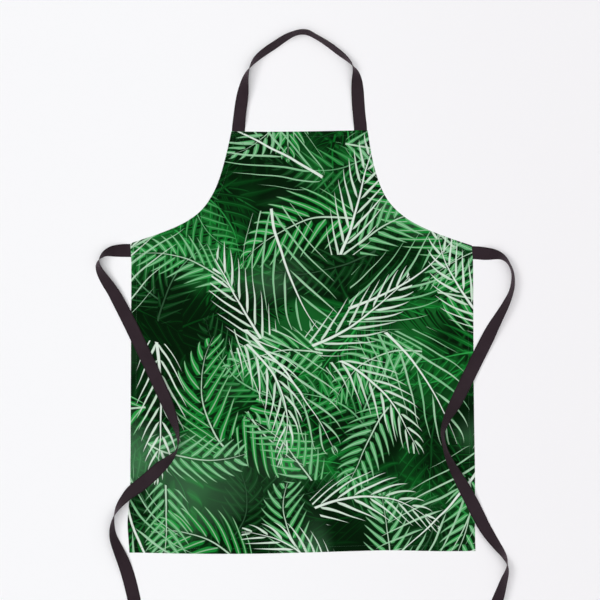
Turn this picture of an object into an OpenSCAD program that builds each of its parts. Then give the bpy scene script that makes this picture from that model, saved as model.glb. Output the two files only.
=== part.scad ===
// Bib apron laid out flat, face up: one panel of cloth with turned hems, a
// neck strap and two waist ties of woven tape. Millimetres. +Y runs from the
// bottom hem to the neck, +Z up from the table. The origin lies on the table
// in the middle of the panel and neck strap.

/* [Panel] */
// Length from the bib's top edge to the bottom hem
panel_length = 810; // [700:5:900]
// Width of the bib along its top edge
bib_width = 262; // [230:2:320]
// Drop from the bib's top edge to the waist corners
bib_height = 218; // [180:2:260]
// Width across the waist corners
waist_width = 657; // [560:1:760]
// Width along the bottom hem
skirt_width = 663; // [560:1:780]
// Thickness of the cloth
cloth_t = 0.5; // [0.3:0.1:0.8]

/* [Armholes] */
// Lean of the armhole edge out from straight down, at the bib corner
armhole_lean = 10; // [0:1:20]
// Rise of the armhole edge above level, at the waist corner
armhole_rise = 18; // [5:1:30]
// How far the curve holds the bib corner's lean, as a share of the bib's height
armhole_top_hold = 0.72; // [0.5:0.02:0.9]
// How far the curve holds the waist corner's rise, as a share of the armhole's width
armhole_side_hold = 0.78; // [0.5:0.02:0.9]

/* [Hems] */
// Width of the turned hems
hem_w = 12; // [8:1:20]
// Layers of cloth folded under in a hem
hem_layers = 2; // [1:1:3]
// Distance of the hem stitching from the edge
stitch_inset = 10; // [5:0.5:18]
// Width of a line of stitching
thread_w = 0.8; // [0.5:0.1:1.5]
// How proud of the cloth a line of stitching stands
thread_h = 0.2; // [0.1:0.05:0.4]

/* [Tape] */
// Width of the woven tape
tape_w = 25; // [20:1:32]
// Thickness of the woven tape
tape_t = 1; // [0.6:0.1:1.5]
// Length of tape caught under the panel at each sewn end
tail_length = 28; // [28:1:40]
// Distance of a sewn end's tape from the panel's corner
corner_inset = 1; // [0:1:12]
// Side of the boxed cross of stitches that holds a sewn end
tack_size = 20; // [12:1:20]
// Distance of the boxed cross from the panel's edge
tack_inset = 4; // [3:0.5:8]

/* [Neck strap] */
// Reach of the neck strap's middle above the bib
strap_reach = 192; // [160:2:240]

/* [Clearances] */
// Gap between a hem and the tape tucked into it
tuck_gap = 0.2; // [0.1:0.05:0.5]
// Gap between the neck strap's sewn ends and its loop, at the fold
fold_gap = 0.3; // [0.2:0.05:0.6]
// Length of tape that the bend of a tie takes up, where it swings
swing_gap = 1.6; // [1.4:0.1:2.5]
// Height of a tie above the stitching where it crosses the panel
cross_gap = 0.4; // [0.3:0.1:1]

/* [Hidden] */

// Heights of the layers above the table.
hem_t = hem_layers * cloth_t;
panel_z = max(hem_t, tape_t);
face_z = panel_z + cloth_t;
tail_z = panel_z - tape_t;
cross_z = face_z + thread_h + cross_gap;
bib_y = (panel_length - strap_reach) / 2;

// Places where the tapes are sewn on, measured from the middle of the bib's top edge.
neck_x = bib_width / 2 - corner_inset - tape_w / 2;
tie_x = waist_width / 2;
tie_y = -bib_height - corner_inset - tape_w / 2;

cloth_colour = [0.16, 0.42, 0.22];
tape_colour = [0.21, 0.17, 0.19];
thread_colour = [0.08, 0.25, 0.12];

// ---- Panel outline -------------------------------------------------------
// Six edges, clockwise from the bib's left corner. Each is a list of points
// that starts and ends on a corner, so the inside lies to its right.

LEFT = -1;
RIGHT = 1;
BIB = 0;
ARMHOLE_RIGHT = 1;
SIDE_RIGHT = 2;
BOTTOM = 3;
SIDE_LEFT = 4;
ARMHOLE_LEFT = 5;
ARMHOLE_STEPS = 20;

bib_corner = [bib_width / 2, 0];
waist_corner = [waist_width / 2, -bib_height];
hem_corner = [skirt_width / 2, -panel_length];

armhole_controls = [
    bib_corner,
    bib_corner + armhole_top_hold * bib_height * [sin(armhole_lean), -cos(armhole_lean)],
    waist_corner + armhole_side_hold * (waist_width - bib_width) / 2
        * [-cos(armhole_rise), sin(armhole_rise)],
    waist_corner
];

function cubic(c, t) =
    pow(1 - t, 3) * c[0] + 3 * pow(1 - t, 2) * t * c[1]
    + 3 * (1 - t) * t * t * c[2] + pow(t, 3) * c[3];

function mirrored(path) = [for (i = [len(path) - 1 : -1 : 0]) [-path[i][0], path[i][1]]];

right_armhole = [for (i = [0 : ARMHOLE_STEPS]) cubic(armhole_controls, i / ARMHOLE_STEPS)];
right_side = [waist_corner, hem_corner];
edges = [
    [[-bib_corner[0], 0], bib_corner],
    right_armhole,
    right_side,
    [hem_corner, [-hem_corner[0], hem_corner[1]]],
    mirrored(right_side),
    mirrored(right_armhole)
];

function unit(v) = v / norm(v);
function inward(v) = unit([v[1], -v[0]]);

// Direction into the cloth at one point of an edge.
function edge_normal(edge, i) =
    inward(edge[min(i + 1, len(edge) - 1)] - edge[max(i - 1, 0)]);

// Corner between two edges, set in from both by the same distance.
function inset_corner(corner, n1, n2, d) = corner + d * (n1 + n2) / (1 + n1 * n2);

// One edge set in from the outline, mitred with its neighbours at both corners.
function inset_edge(k, d) =
    let (
        edge = edges[k],
        last = len(edge) - 1,
        before = edges[(k + 5) % 6],
        after = edges[(k + 1) % 6]
    ) [
        inset_corner(edge[0], edge_normal(before, len(before) - 1), edge_normal(edge, 0), d),
        for (i = [1 : 1 : last - 1]) edge[i] + d * edge_normal(edge, i),
        inset_corner(edge[last], edge_normal(edge, last), edge_normal(after, 0), d)
    ];

function reversed(path) = [for (i = [len(path) - 1 : -1 : 0]) path[i]];

module outline(d = 0) {
    polygon([
        for (k = [0 : 5])
            let (edge = inset_edge(k, d))
                for (i = [0 : len(edge) - 2]) edge[i]
    ]);
}

// Moves a shape from the bib's top edge to its place about the origin.
module laid(z = 0) {
    translate([0, bib_y, z]) children();
}

module panel() {
    color(cloth_colour) laid(panel_z) linear_extrude(cloth_t) outline();
}

// ---- Hems ----------------------------------------------------------------

// Rectangle that a neck strap's sewn end covers, and a tie's.
module neck_seat(side, grow = 0) {
    translate([side * neck_x - tape_w / 2 - grow, -tail_length - grow])
        square([tape_w + 2 * grow, tail_length + 2 * grow]);
}

module tie_seat(side, grow = 0) {
    translate([side * (tie_x - tail_length / 2) - tail_length / 2 - grow, tie_y - tape_w / 2 - grow])
        square([tail_length + 2 * grow, tape_w + 2 * grow]);
}

module seats() {
    for (side = [LEFT, RIGHT]) {
        neck_seat(side, tuck_gap);
        tie_seat(side, tuck_gap);
    }
}

// Cloth outside a sewn end, which is too narrow to turn unless the tape is set well in.
// Each cut reaches past the edges of the cloth by cut_over.
cut_over = 1;
module corner_scraps() {
    if (corner_inset < hem_w) {
        for (side = [LEFT, RIGHT]) {
            translate([side * (bib_width / 2 - hem_w / 2) - hem_w / 2 - cut_over, -hem_w])
                square([hem_w + 2 * cut_over, hem_w + cut_over]);
            translate([side * (tie_x - hem_w / 2) - hem_w, tie_y])
                square([2 * hem_w, -bib_height - tie_y + cut_over]);
        }
    }
}

module hem_strip(k) {
    polygon(concat(inset_edge(k, 0), reversed(inset_edge(k, hem_w))));
}

// A hem hangs from the panel's underside. Its cloth parts round the sewn ends.
module hem(k, keeps_corner = true) {
    color(cloth_colour) laid(panel_z - hem_t) linear_extrude(hem_t) difference() {
        hem_strip(k);
        seats();
        if (!keeps_corner) corner_scraps();
    }
}

module bib_hem() { hem(BIB, keeps_corner = false); }
module armhole_hem_left() { hem(ARMHOLE_LEFT); }
module armhole_hem_right() { hem(ARMHOLE_RIGHT); }
module side_hem_left() { hem(SIDE_LEFT, keeps_corner = false); }
module side_hem_right() { hem(SIDE_RIGHT, keeps_corner = false); }
module bottom_hem() { hem(BOTTOM); }

// ---- Stitching -----------------------------------------------------------

// Middle of the boxed cross on a neck strap's sewn end, and on a tie's.
function neck_tack_place(side) = [side * neck_x, -tack_inset - tack_size / 2];
function tie_tack_place(side) = [side * (tie_x - tack_inset - tack_size / 2), tie_y];

module tack_square(size) {
    square([size, size], center = true);
}

module hem_stitching() {
    room = tack_size + 2 * thread_w;
    color(thread_colour) laid(face_z) linear_extrude(thread_h) difference() {
        outline(stitch_inset - thread_w / 2);
        outline(stitch_inset + thread_w / 2);
        for (side = [LEFT, RIGHT]) {
            translate(neck_tack_place(side)) tack_square(room);
            translate(tie_tack_place(side)) tack_square(room);
        }
    }
}

module tack(place) {
    inner = tack_size - 2 * thread_w;
    color(thread_colour) laid(face_z) translate(place) linear_extrude(thread_h) {
        difference() {
            tack_square(tack_size);
            tack_square(inner);
        }
        intersection() {
            tack_square(tack_size - thread_w);
            for (turn = [-45, 45])
                rotate(turn) square([2 * tack_size, thread_w], center = true);
        }
    }
}

module neck_tack_left() { tack(neck_tack_place(LEFT)); }
module neck_tack_right() { tack(neck_tack_place(RIGHT)); }
module tie_tack_left() { tack(tie_tack_place(LEFT)); }
module tie_tack_right() { tack(tie_tack_place(RIGHT)); }

// ---- Tape ----------------------------------------------------------------
// A tape follows a route of [x, y, roll] points. Roll is its turn about the
// route: 0 lies flat, 90 stands on edge, 180 lies flat with its back up. The
// tape's own width keeps each point's height, so its lowest edge always rests
// on what lies under it. Between flat stretches the tape rolls over its edge,
// which is how a flat tape turns a corner on a table.

edge_bevel = tape_t / 4;
tape_section = [
    [tape_w / 2, -edge_bevel], [tape_w / 2, edge_bevel],
    [tape_w / 2 - edge_bevel, tape_t / 2], [0, tape_t / 2], [-tape_w / 2 + edge_bevel, tape_t / 2],
    [-tape_w / 2, edge_bevel], [-tape_w / 2, -edge_bevel],
    [-tape_w / 2 + edge_bevel, -tape_t / 2], [0, -tape_t / 2], [tape_w / 2 - edge_bevel, -tape_t / 2]
];
SIDES = len(tape_section);
CROWN = 3;
UNDERSIDE = 6;

function heading(route, i) =
    let (
        a = route[max(i - 1, 0)],
        b = route[min(i + 1, len(route) - 1)]
    ) unit([b[0] - a[0], b[1] - a[1]]);

// Height of a rolled tape's middle above what it rests on.
function stand(roll) = tape_w / 2 * abs(sin(roll)) + tape_t / 2 * abs(cos(roll));

// The tape's section, turned and set at one point of the route.
function tape_ring(route, rest, i) =
    let (
        p = route[i],
        t = heading(route, i),
        level = [-t[1], t[0], 0],
        up = [0, 0, 1],
        across = level * cos(p[2]) + up * sin(p[2]),
        through = up * cos(p[2]) - level * sin(p[2]),
        middle = [p[0], p[1], rest[i] + stand(p[2])]
    ) [for (s = tape_section) middle + s[0] * across + s[1] * through];

// Two triangles between neighbouring rings. The top and the underside are
// split along the same diagonal, so a twisted stretch keeps its thickness.
function tape_wall(i, j) =
    let (
        a = i * SIDES + j,
        b = i * SIDES + (j + 1) % SIDES,
        c = b + SIDES,
        d = a + SIDES
    ) j < UNDERSIDE ? [[a, b, c], [a, c, d]] : [[a, b, d], [b, c, d]];

// Closes one end with a fan of triangles from the middle of the tape's top.
function tape_end(i, faces_back) =
    let (base = i * SIDES) [
        for (k = [1 : SIDES - 2])
            let (
                b = base + (CROWN + k) % SIDES,
                c = base + (CROWN + k + 1) % SIDES
            ) faces_back ? [base + CROWN, c, b] : [base + CROWN, b, c]
    ];

module tape(route, rest) {
    rings = len(route);
    polyhedron(
        points = [for (i = [0 : rings - 1]) each tape_ring(route, rest, i)],
        faces = [
            each tape_end(0, faces_back = true),
            for (i = [0 : rings - 2], j = [0 : SIDES - 1]) each tape_wall(i, j),
            each tape_end(rings - 1, faces_back = false)
        ],
        convexity = 10
    );
}

function ease(t) = let (u = min(max(t, 0), 1)) u * u * (3 - 2 * u);

// ---- Neck strap ----------------------------------------------------------
// The route of the loop over the bib, left seam to right seam. It was laid out
// with its seams neck_lay apart from the middle and its top reach_lay above.

neck_lay = 117.5;
reach_lay = 192;
fold_y = 1;
neck_route = [
    [-117.5, 8, 0], [-116.5, 20, -14], [-114, 44, -16], [-110.8, 68, -22], [-109, 82, -37],
    [-106.5, 98, -56], [-102.5, 112, -72], [-97, 122.5, -88], [-88, 135, -104],
    [-70, 150.5, -114], [-48, 165.5, -115], [-30, 177.5, -111], [-14, 185.5, -103], [-1, 189, -102], [12, 188.5, -104], [25, 182, -101],
    [53, 165, -105], [75, 148.5, -106], [88, 138, -99], [99, 126, -86], [105.5, 114, -62],
    [108, 99, -38], [109.5, 83, -20], [112, 52, -10], [115.5, 22, -10], [117.5, 8, 0]
];
loop_start = fold_y + fold_gap;
loop_route = [
    [-neck_x, loop_start, 0],
    for (p = neck_route) [p[0] * neck_x / neck_lay, p[1] * strap_reach / reach_lay, p[2]],
    [neck_x, loop_start, 0]
];

module neck_strap() {
    rest = [for (p = loop_route) tail_z * (1 - ease(p[1] / bib_height))];
    color(tape_colour) laid() tape(loop_route, rest);
}

module neck_tail(side) {
    color(tape_colour) laid(tail_z)
        translate([side * neck_x - tape_w / 2, -tail_length, 0])
            cube([tape_w, tail_length + fold_y, tape_t]);
}

module neck_tail_left() { neck_tail(LEFT); }
module neck_tail_right() { neck_tail(RIGHT); }

// ---- Waist ties ----------------------------------------------------------
// Routes are measured from the panel's edge at the tie's seam. Each tie leaves
// the edge flat, rolls up on edge, and turns down there. It swings about that
// upright bend, crosses the skirt, and runs off past the bottom hem.

left_bend = [-56, -12, -90];
left_bend_heading = [-0.62, -0.78];
left_sewn_route = [
    [0, 0, 0], [-4, 0, 0], [-11, 1, -10], [-21, 1, -22], [-31, 0.5, -34], [-38, -1, -47],
    [-44.5, -3, -61], [-50.5, -6.5, -76]
];
left_free_route = [
    [-60, -18, -103], [-61.5, -25, -115], [-59.5, -34, -126], [-53.5, -46, -138],
    [-44.5, -60, -149], [-33, -77, -158], [-21, -99, -170], [18, -178, -180], [43, -230, -176],
    [68, -285, -163], [83, -322, -138], [91, -347, -115], [93, -366, -101], [91, -378, -90],
    [86, -387, -76], [78, -396, -58], [57, -415, -24], [36, -435, -4], [15, -452, 12],
    [-1, -464, 34], [-11, -475, 49], [-20, -486, 62], [-26.5, -497, 75], [-30.5, -507, 86],
    [-32.5, -516, 94], [-33.5, -526, 102], [-33.5, -537, 109], [-31, -550, 118], [-26, -563, 127],
    [-20, -577, 136], [-13, -594, 147], [-5, -620, 163], [5.5, -663, 177], [14.5, -713, 180],
    [20, -757, 180], [21, -802, 180]
];

right_bend = [71.5, -27, 90];
right_bend_heading = [0.47, -0.88];
right_sewn_route = [
    [0, 0, 0], [4, 0, 0], [15, -2.5, 8], [28, -4.5, 22], [39, -5.5, 36], [49, -7.5, 54], [55.5, -10, 66],
    [61, -13.5, 76], [66, -18.5, 84]
];
right_free_route = [
    [75.5, -36, 89], [77.5, -46, 87], [77.5, -56, 84], [76.5, -67, 80], [73.5, -79, 77],
    [69, -90, 71], [63.5, -102, 64], [51, -125, 51], [38.5, -148, 33], [26, -174, 14],
    [13, -200, 7], [-12, -251, 10], [-37, -299, 40], [-49, -320, 62], [-54, -333, 70],
    [-58, -349, 79], [-56, -363, 80], [-52, -380, 75], [-45, -399, 63], [-37, -415, 52],
    [-16, -453, 25], [5, -493, 4], [25, -532, -22], [46, -563, -47], [58, -579, -62],
    [65, -592, -74], [67.5, -603, -86], [66, -614, -96], [62, -626, -107], [58.5, -637, -115],
    [55, -649, -123], [50.5, -663, -132], [36, -711, -164], [27, -757, -180], [25, -802, -180]
];

// Length over which a tie climbs onto the panel. The climb ends where the
// tape's edge is still step_room outside the cloth.
climb = 30;
step_room = 2;
climb_end = tape_w / 2 + step_room;

// How far a point lies inside the skirt's rectangle; negative outside it.
function inside_skirt(x, y) = min(skirt_width / 2 - abs(x), y + panel_length);

// Height of the surface that a free tie lies on: the table, or the panel's face.
function tie_rest(x, y) = cross_z * ease((inside_skirt(x, y) + climb + climb_end) / climb);

// The bend's own point, moved along its heading by half the tape that the bend takes up.
function bend_end(bend, bend_heading, way) =
    let (step = way * swing_gap / 2 * unit(bend_heading))
        [bend[0] + step[0], bend[1] + step[1], bend[2]];

// A short upright straight on each side of the bend keeps its two ends parallel.
BEND_STRAIGHT = 2.5;
function bend_run(bend, bend_heading, way) =
    let (step = way * (swing_gap / 2 + BEND_STRAIGHT) * unit(bend_heading))
        [bend[0] + step[0], bend[1] + step[1], bend[2]];

function from_seam(side, route) = [for (p = route) [side * tie_x + p[0], tie_y + p[1], p[2]]];

module sewn_tie(side, route, bend, bend_heading) {
    path = from_seam(side, concat(
        [[-side * tail_length, 0, 0]],
        route,
        [bend_run(bend, bend_heading, -1), bend_end(bend, bend_heading, -1)]
    ));
    rest = [for (p = path) tail_z * (1 - ease((abs(p[0]) - tie_x) / climb))];
    color(tape_colour) laid() tape(path, rest);
}

module free_tie(side, route, bend, bend_heading) {
    path = from_seam(side, concat(
        [bend_end(bend, bend_heading, 1), bend_run(bend, bend_heading, 1)],
        route
    ));
    rest = [for (p = path) tie_rest(p[0], p[1])];
    color(tape_colour) laid() tape(path, rest);
}

module tie_tail_left() { sewn_tie(LEFT, left_sewn_route, left_bend, left_bend_heading); }
module tie_tail_right() { sewn_tie(RIGHT, right_sewn_route, right_bend, right_bend_heading); }
module tie_left() { free_tie(LEFT, left_free_route, left_bend, left_bend_heading); }
module tie_right() { free_tie(RIGHT, right_free_route, right_bend, right_bend_heading); }

panel();
bib_hem();
armhole_hem_left();
armhole_hem_right();
side_hem_left();
side_hem_right();
bottom_hem();
hem_stitching();
neck_strap();
neck_tail_left();
neck_tail_right();
neck_tack_left();
neck_tack_right();
tie_left();
tie_right();
tie_tail_left();
tie_tail_right();
tie_tack_left();
tie_tack_right();
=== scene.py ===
# %% [markdown]
# # A bib apron, laid out flat
# A bib apron is a sheet of printed cloth with turned hems, a neck strap and two waist ties.
# The CAD model holds every piece at its real size. This lesson gives the pieces their looks:
# cloth that lies a little out of true, woven tape that rolls over its edge at each corner,
# rows of small stitches, and a printed leaf pattern made only of shader maths.
#
# Blender works in metres. Outlines and routes are easier to read in millimetres, measured
# from the middle of the bib's top edge, so they are written that way and scaled by MM.

# %% The frame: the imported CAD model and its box
import math

import bmesh
import bpy
import numpy as np
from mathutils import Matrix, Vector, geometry, kdtree


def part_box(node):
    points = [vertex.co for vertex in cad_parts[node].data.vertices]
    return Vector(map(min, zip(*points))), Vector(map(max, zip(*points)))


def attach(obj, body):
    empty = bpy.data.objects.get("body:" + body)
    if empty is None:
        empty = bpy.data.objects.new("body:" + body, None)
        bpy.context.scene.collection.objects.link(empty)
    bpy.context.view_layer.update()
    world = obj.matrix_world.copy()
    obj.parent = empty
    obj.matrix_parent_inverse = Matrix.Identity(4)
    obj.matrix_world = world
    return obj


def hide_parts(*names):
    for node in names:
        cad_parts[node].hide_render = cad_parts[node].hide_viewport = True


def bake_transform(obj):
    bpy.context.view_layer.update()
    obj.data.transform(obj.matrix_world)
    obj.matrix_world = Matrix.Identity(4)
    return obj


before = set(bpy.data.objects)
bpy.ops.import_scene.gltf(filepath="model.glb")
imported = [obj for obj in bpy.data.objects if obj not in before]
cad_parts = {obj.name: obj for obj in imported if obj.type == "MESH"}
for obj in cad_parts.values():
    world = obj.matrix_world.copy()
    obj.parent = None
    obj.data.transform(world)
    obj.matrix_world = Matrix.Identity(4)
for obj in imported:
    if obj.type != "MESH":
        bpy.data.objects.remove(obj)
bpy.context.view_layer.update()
MM = 0.001

# %% [markdown]
# ## Camera
# A flat lay is shot from straight above. A long lens far away keeps the edges of the cloth
# parallel, so this camera looks down a plumb line with an 85 mm lens.

# %% Camera
VIEW_CENTRE = (-2.3 * MM, -15.8 * MM)
VIEW_WIDTH = 1155 * MM
LENS = 85
SENSOR = 36


def put_in_scene(name, data):
    """An object in the scene, made from a mesh, a lamp or a camera's data."""
    made = bpy.data.objects.new(name, data)
    bpy.context.scene.collection.objects.link(made)
    return made


data = bpy.data.cameras.new("camera")
data.lens, data.sensor_width = LENS, SENSOR
data.clip_start, data.clip_end = 0.05, 50
camera = put_in_scene("camera", data)
camera.location = (*VIEW_CENTRE, VIEW_WIDTH * LENS / SENSOR)
bpy.context.scene.camera = camera
print("camera height in m:", round(camera.location.z, 3))

# %% [markdown]
# ## Sizes, and how the cloth lies
# The cloth and the tapes meet in many places, so both are made from the same few sizes. They
# also share how the cloth lies. It has a few long, low ripples, which a tie that crosses it
# rides over, and it leans a few millimetres to one side, which the neck strap follows. Two
# small functions say both, and every piece asks them.

# %% Sizes shared by the cloth and the tapes
BIB_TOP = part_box("panel")[1].y
TAPE_WIDTH = 25 * MM
TAPE_THICK = 1 * MM
CLOTH = 0.5 * MM  # one layer of cloth
FACE = 1.5 * MM  # the printed face, above the table
CROSSING = 2.1 * MM  # the underside of a tie where it crosses the panel
# The rest are in millimetres.
TAIL = 28  # tape caught under the panel
HALF_TAPE = 12.5
NECK_X = 117.5  # middle of the neck strap's sewn ends
TIE_SEAM = (328.5, -231.5)  # where a tie's middle leaves the panel
SKIRT_HALF = 331.5
SKIRT_FOOT = -810
print("the bib's top edge in mm:", round(BIB_TOP / MM, 1))

# %% Ripples
# Place x, y, length along and width across in metres, turn in degrees, height in millimetres
RIPPLES = [
    (-0.235, -0.452, 0.15, 0.040, 84, 1.5),
    (-0.080, -0.440, 0.17, 0.034, 97, 1.2),
    (0.120, -0.455, 0.19, 0.038, 80, 1.8),
    (0.262, -0.430, 0.16, 0.036, 104, 1.3),
    (-0.300, -0.430, 0.12, 0.030, 62, 1.2),
    (-0.205, 0.045, 0.13, 0.026, 160, 0.9),
    (0.215, 0.040, 0.14, 0.028, 22, 1.0),
    (-0.060, 0.235, 0.12, 0.030, 70, 0.7),
    (0.075, 0.220, 0.11, 0.026, 112, 0.7),
    (0.030, -0.120, 0.26, 0.045, 35, 0.8),
    (-0.120, -0.230, 0.22, 0.050, 120, 0.8),
]


def lift(x, y):
    """How far the ripples raise the cloth off the table, for x, y in metres."""
    total = 0 * (x + y)
    for cx, cy, long, wide, turn, height in RIPPLES:
        c, s = math.cos(math.radians(turn)), math.sin(math.radians(turn))
        u, v = (x - cx) * c + (y - cy) * s, -(x - cx) * s + (y - cy) * c
        total = total + height * MM * np.exp(-((u / long) ** 2) - (v / wide) ** 2)
    return total


def ease(t):
    """A soft step from 0 to 1."""
    t = np.clip(t, 0, 1)
    return t * t * (3 - 2 * t)


print("highest ripple in mm:", round(float(lift(0.12, -0.455)) / MM, 2))

# %% Lean
LEAN_AT = [-810, -600, -250, -190, -130, -60, 0, 100, 200]
LEAN = [1.6, 2.1, 1.9, -2.5, -5.3, -5.0, -3.4, -1.2, -0.5]


def lean(y):
    """How far the cloth and the neck strap lie to the right, for y in mm above the bib's top."""
    return np.interp(y, LEAN_AT, LEAN)


print("lean at the hem and at the bib's top in mm:", lean(SKIRT_FOOT), lean(0))

# %% [markdown]
# ## Woven tape
# The ties and the neck strap are the same 25 mm tape. A flat tape can't bend sideways on a
# table: to turn a corner it rolls over its own edge. A route is therefore a list of
# [x, y, roll] points, in millimetres and degrees. Roll 0 lies flat, 90 stands on edge and 180
# lies flat with its back up. A smooth curve through the points gives a ring every few
# millimetres, and each ring rests on its own lowest edge.
#
# A curve object with a bevel could make a tape too, but its tilt is hard to steer at such
# corners. Rings made in code turn exactly as the route says.

# %% A smooth curve through a route
FINE_STEP = 0.5  # in mm, close enough to measure the curve's length
RING_STEP = 2.5
SOFTENING = 5  # rounds of averaging, which take the last kinks out


def run_along(points):
    """Length of the way to each point of a line."""
    return np.concatenate([[0], np.cumsum(np.linalg.norm(np.diff(points, axis=0), axis=1))])


def smooth_route(route, step):
    """Points along a smooth curve through the route, one every step: x, y, roll, length so far."""
    route = np.array(route, float)
    at = run_along(route[:, :2])
    slope = np.gradient(route, at, axis=0)
    fine = np.linspace(0, at[-1], int(at[-1] / FINE_STEP))
    i = np.clip(np.searchsorted(at, fine, side="right") - 1, 0, len(at) - 2)
    span = (at[i + 1] - at[i])[:, None]
    t = (fine - at[i])[:, None] / span
    # A cubic between each two points, with the same slope on both sides of each point.
    curve = (
        (2 * t**3 - 3 * t**2 + 1) * route[i]
        + (t**3 - 2 * t**2 + t) * span * slope[i]
        + (3 * t**2 - 2 * t**3) * route[i + 1]
        + (t**3 - t**2) * span * slope[i + 1]
    )
    run = run_along(curve[:, :2])
    marks = np.linspace(0, run[-1], int(run[-1] / step) + 1)
    rings = np.column_stack([np.interp(marks, run, curve[:, c]) for c in range(3)] + [marks])
    for _ in range(SOFTENING):
        rings[1:-1] = (rings[:-2] + 2 * rings[1:-1] + rings[2:]) / 4
    return rings


print("rings on 100 mm of tape:", len(smooth_route([[0, 0, 0], [100, 0, 0]], RING_STEP)))

# %% The tape's section
EDGE_ROUND = 0.35 * MM


def tape_section():
    """Across and through the tape, round its section: rounded selvedges and a thinner middle."""
    half, thick = TAPE_WIDTH / 2, TAPE_THICK / 2
    across = np.array([-1, -0.93, -0.86, -0.5, 0, 0.5, 0.86, 0.93, 1]) * (half - EDGE_ROUND)
    through = np.array([1, 1, 0.8, 0.75, 0.75, 0.75, 0.8, 1, 1]) * thick
    top = list(zip(across, through))
    side = [(half, thick * 0.45), (half, -thick * 0.45)]
    under = [(a, -t) for a, t in reversed(top)]
    return top + side + under + [(-a, t) for a, t in reversed(side)]


print("points round the section:", len(tape_section()))

# %% Meshes from rings


def quads_between(rings, sides):
    """Faces between neighbouring closed rings, each ring with as many points as it has sides."""
    faces = []
    for near in range(0, (rings - 1) * sides, sides):
        far = near + sides
        for j in range(sides):
            k = (j + 1) % sides
            faces.append([near + j, near + k, far + k, far + j])
    return faces


def face_outwards(mesh):
    """Turns all faces of a closed mesh outwards and shades them smooth."""
    work = bmesh.new()
    work.from_mesh(mesh)
    bmesh.ops.recalc_face_normals(work, faces=work.faces)
    for face in work.faces:
        face.smooth = True
    work.to_mesh(mesh)
    work.free()


# %% The tape's mesh


def tape_mesh(name, route, rest):
    """A closed strip of tape along a route. rest(x, y) is the height that it lies on."""
    rings = smooth_route(route, RING_STEP)
    place, roll, length = rings[:, :2] * MM, np.radians(rings[:, 2]), rings[:, 3] * MM
    place = place + [0, BIB_TOP]
    heading = np.gradient(place, axis=0)
    heading /= np.linalg.norm(heading, axis=1)[:, None]
    stand = TAPE_WIDTH / 2 * abs(np.sin(roll)) + TAPE_THICK / 2 * abs(np.cos(roll))
    middle = np.column_stack([place, rest(place[:, 0], place[:, 1]) + stand])
    level = np.column_stack([-heading[:, 1], heading[:, 0], 0 * roll])
    up = np.array([0, 0, 1])
    cos, sin = np.cos(roll)[:, None], np.sin(roll)[:, None]
    across, through = level * cos + up * sin, up * cos - level * sin
    section = np.array(tape_section())
    sides = len(section)
    points = (
        middle[:, None]
        + across[:, None] * section[None, :, :1]
        + through[:, None] * section[None, :, 1:]
    ).reshape(-1, 3)
    first_end = list(range(sides))[::-1]
    last_end = [len(points) - sides + j for j in range(sides)]
    faces = quads_between(len(rings), sides) + [first_end, last_end]
    mesh = bpy.data.meshes.new(name)
    mesh.from_pydata(points.tolist(), [], faces)
    # The weave follows the tape, so each point remembers its place across and along it.
    run = mesh.attributes.new("tape_run", "FLOAT_VECTOR", "POINT")
    places = [(s[0], v, 0.0) for v in length for s in section]
    run.data.foreach_set("vector", np.array(places, np.float32).ravel())
    face_outwards(mesh)
    print(name, "rings:", len(rings), "length in m:", round(float(run_along(middle)[-1]), 3))
    return put_in_scene(name, mesh), middle


# %% [markdown]
# ## Waist ties
# Each tie is sewn under the panel's edge, leaves it flat, rolls up on edge, turns down there,
# crosses the skirt and runs off past the bottom hem. It is one length of tape: about a
# metre long, limp, loose on the table, with a plain cut end.
#
# The CAD model swings a tie about its upright bend. The tape is one piece, so it can't ride on
# one body only: here it rides on no body, and is laid as it rests.

# %% Routes of the two ties, from their seams
left_route = [
    [28, 2, 0], [14, 2, 0], [2, 2, 0], [-6, 2, 0], [-12, 2, -9], [-21, 1.5, -22],
    [-31, 0.5, -34], [-38, -1, -47], [-44.5, -3, -61], [-50.5, -6.5, -76], [-56, -12, -90],
    [-60, -18, -103], [-61.5, -25, -115], [-59.5, -34, -126], [-53.5, -46, -138],
    [-44.5, -60, -149], [-33, -77, -158], [-21, -99, -170], [18, -178, -180],
    [43, -230, -176], [68, -285, -163], [83, -322, -138], [91, -347, -115], [93, -366, -101],
    [91, -378, -90], [86, -387, -76], [78, -396, -58], [57, -415, -24], [36, -435, -4],
    [15, -452, 12], [-1, -464, 34], [-11, -475, 49], [-20, -486, 62], [-26.5, -497, 75],
    [-30.5, -507, 86], [-32.5, -516, 94], [-33.5, -526, 102], [-33.5, -537, 109],
    [-31, -550, 118], [-26, -563, 127], [-20, -577, 136], [-13, -594, 147], [-5, -620, 163],
    [5.5, -663, 177], [14.5, -713, 180], [20, -757, 180], [21, -802, 180],
]
right_route = [
    [-28, -2, 0], [-14, -2, 0], [-2, -2, 0], [6, -2.2, 0], [15, -3, 7], [28, -4.5, 22],
    [39, -5.5, 36], [49, -7.5, 54], [55.5, -10, 66], [61, -13.5, 76], [66, -18.5, 84],
    [71.5, -27, 90], [75.5, -36, 89], [77.5, -46, 87], [77.5, -56, 84], [76.5, -67, 80],
    [73.5, -79, 77], [69, -90, 71], [63.5, -102, 64], [51, -125, 51], [38.5, -148, 33],
    [26, -174, 14], [13, -200, 7], [-12, -251, 10], [-37, -299, 40], [-49, -320, 62],
    [-54, -333, 70], [-58, -349, 79], [-56, -363, 80], [-52, -380, 75], [-45, -399, 63],
    [-37, -415, 52], [-16, -453, 25], [5, -493, 4], [25, -532, -22], [46, -563, -47],
    [58, -579, -62], [65, -592, -74], [67.5, -603, -86], [66, -614, -96], [62, -626, -107],
    [58.5, -637, -115], [55, -649, -123], [50.5, -663, -132], [36, -711, -164],
    [27, -757, -180], [25, -802, -180],
]
print("points on the two routes:", len(left_route), len(right_route))

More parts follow.
